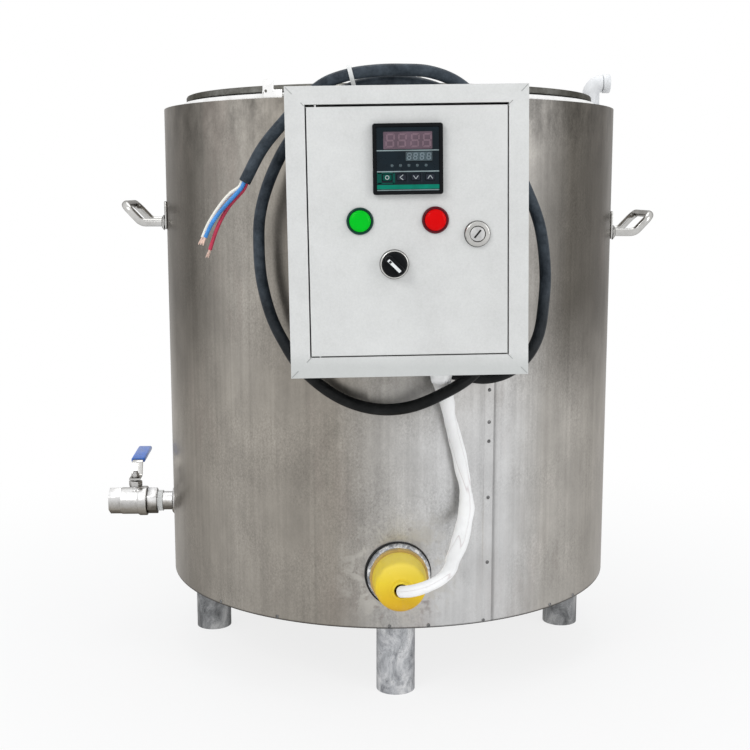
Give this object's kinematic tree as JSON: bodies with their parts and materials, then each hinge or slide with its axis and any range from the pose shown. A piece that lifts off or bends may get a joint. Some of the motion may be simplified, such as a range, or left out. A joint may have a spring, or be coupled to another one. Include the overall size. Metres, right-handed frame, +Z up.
{
  "type": "electric double boiler",
  "caption": "Electric double boiler: a water-jacketed steel pot on legs with a lift-off lid, immersion heater, outlet ball valve, filler elbow and a wall box with temperature control.",
  "frame": {"origin": "middle of the footprint on the floor, measured without the free cords", "axes": "+Z up; -Y towards the control box and heater at the front; the outlet valve points along -X and the filler elbow along +X"},
  "size_m": [0.7837, 0.821, 0.8083],
  "materials": {
    "shell_steel": "clouded brushed stainless sheet",
    "bright_steel": "smooth stainless",
    "pipe_steel": "mottled grey steel pipe",
    "cast_steel": "cast stainless, satin",
    "box_paint": "off-white powder coat",
    "black_plastic": "satin black",
    "dark_face": "smooth dark face",
    "green_plastic": "gloss green",
    "red_plastic": "gloss red",
    "yellow_plastic": "worn yellow",
    "blue_plastic": "dipped blue vinyl",
    "white_plastic": "white",
    "white_cloth": "woven white sleeve",
    "cable_rubber": "black rubber sheath",
    "seal_rubber": "dark rubber",
    "brass": "dull brass"
  },
  "bodies": {
    "tank": {"outer_shell": "shell_steel", "base_plate": "shell_steel", "inner_pot": "bright_steel", "shoulder_ring": "shell_steel", "leg_front": "pipe_steel", "leg_back": "pipe_steel", "leg_left": "pipe_steel", "leg_right": "pipe_steel", "handle_right": "bright_steel", "handle_left": "bright_steel", "filler_elbow": "white_plastic", "outlet_pipe": "cast_steel", "thread_tape": "white_plastic", "valve_body": "cast_steel", "valve_end_cap": "cast_steel", "valve_seat_outer": "white_plastic", "valve_seat_inner": "white_plastic", "valve_gland_nut": "cast_steel", "heater_socket": "cast_steel", "heater_element": "brass", "heater_cap": "yellow_plastic", "box_case": "box_paint", "hinge_pin_upper": "cast_steel", "hinge_pin_lower": "cast_steel", "mounting_plate": "cast_steel", "contactor": "black_plastic", "lead_gland": "black_plastic", "bracket_upper": "pipe_steel", "bracket_lower": "pipe_steel", "cable_boot": "seal_rubber", "power_cable": "cable_rubber", "core_white": "white_plastic", "core_blue": "blue_plastic", "core_red": "red_plastic", "cable_tie": "white_plastic", "heater_lead": "white_cloth"},
    "lid_body": {"lid": "shell_steel", "lid_gasket": "seal_rubber", "lid_handle": "bright_steel"},
    "valve_core": {"valve_ball": "bright_steel", "valve_stem": "cast_steel", "valve_lever": "cast_steel", "lever_nut": "cast_steel", "lever_sleeve": "blue_plastic"},
    "door": {"box_door": "box_paint", "controller_case": "black_plastic", "controller_face": "dark_face", "lamp_green": "green_plastic", "lens_green": "green_plastic", "lamp_red": "red_plastic", "lens_red": "red_plastic", "switch_body": "cast_steel", "lock_barrel": "bright_steel"},
    "knob": {"switch_knob": "black_plastic"},
    "lock": {"lock_plug": "bright_steel", "lock_cam": "cast_steel"},
    "key_1": {"key_set": "black_plastic"},
    "key_2": {"key_shift": "black_plastic"},
    "key_3": {"key_down": "black_plastic"},
    "key_4": {"key_up": "black_plastic"}
  },
  "joints": [
    {"name": "lid_lift", "type": "slide", "parent": "tank", "child": "lid_body", "axis": [0, 0, 1], "range_m": [0, 0.25]},
    {"name": "valve_turn", "type": "hinge", "parent": "tank", "child": "valve_core", "pos_m": [-0.3535, 0.09845, 0.19], "axis": [0, 0, 1], "range_deg": [0, 90]},
    {"name": "door_hinge", "type": "hinge", "parent": "tank", "child": "door", "pos_m": [-0.07749, -0.38895, 0.59656], "axis": [0.0154, 0, -0.9999], "range_deg": [0, 105]},
    {"name": "switch_turn", "type": "hinge", "parent": "door", "child": "knob", "pos_m": [0.00199, -0.39355, 0.56577], "axis": [0, 1, 0], "range_deg": [0, 90]},
    {"name": "lock_turn", "type": "hinge", "parent": "door", "child": "lock", "pos_m": [0.08802, -0.39355, 0.5971], "axis": [0, -1, 0], "range_deg": [0, 90]},
    {"name": "key_set_press", "type": "slide", "parent": "door", "child": "key_1", "axis": [0, 1, 0], "range_m": [0, 0.0006], "stiffness_N_per_m": 900},
    {"name": "key_shift_press", "type": "slide", "parent": "door", "child": "key_2", "axis": [0, 1, 0], "range_m": [0, 0.0006], "stiffness_N_per_m": 900},
    {"name": "key_down_press", "type": "slide", "parent": "door", "child": "key_3", "axis": [0, 1, 0], "range_m": [0, 0.0006], "stiffness_N_per_m": 900},
    {"name": "key_up_press", "type": "slide", "parent": "door", "child": "key_4", "axis": [0, 1, 0], "range_m": [0, 0.0006], "stiffness_N_per_m": 900}
  ]
}
